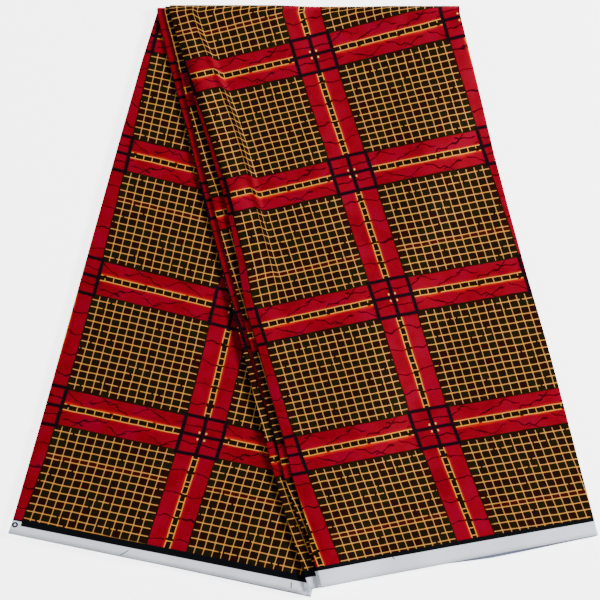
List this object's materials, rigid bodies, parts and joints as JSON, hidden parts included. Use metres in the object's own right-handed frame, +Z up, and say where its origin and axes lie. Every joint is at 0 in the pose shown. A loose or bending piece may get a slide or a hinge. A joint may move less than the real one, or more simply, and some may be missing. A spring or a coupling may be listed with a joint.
{
  "type": "ankara fabric",
  "caption": "Wax-printed cotton cloth folded back and forth into a flat strip and doubled over, its two ends lying spread like an upturned V.",
  "frame": {"origin": "on the surface that the cloth lies on, under the middle of its outline", "axes": "+Z up off the surface, +Y towards the fold over the top, +X towards the foot of the end that lies on top"},
  "size_m": [0.5898, 0.5918, 0.0174],
  "materials": {
    "printed_cotton": "matt woven cotton, printed in red, black and orange"
  },
  "bodies": {
    "root": {"cloth": "printed_cotton"}
  },
  "joints": []
}
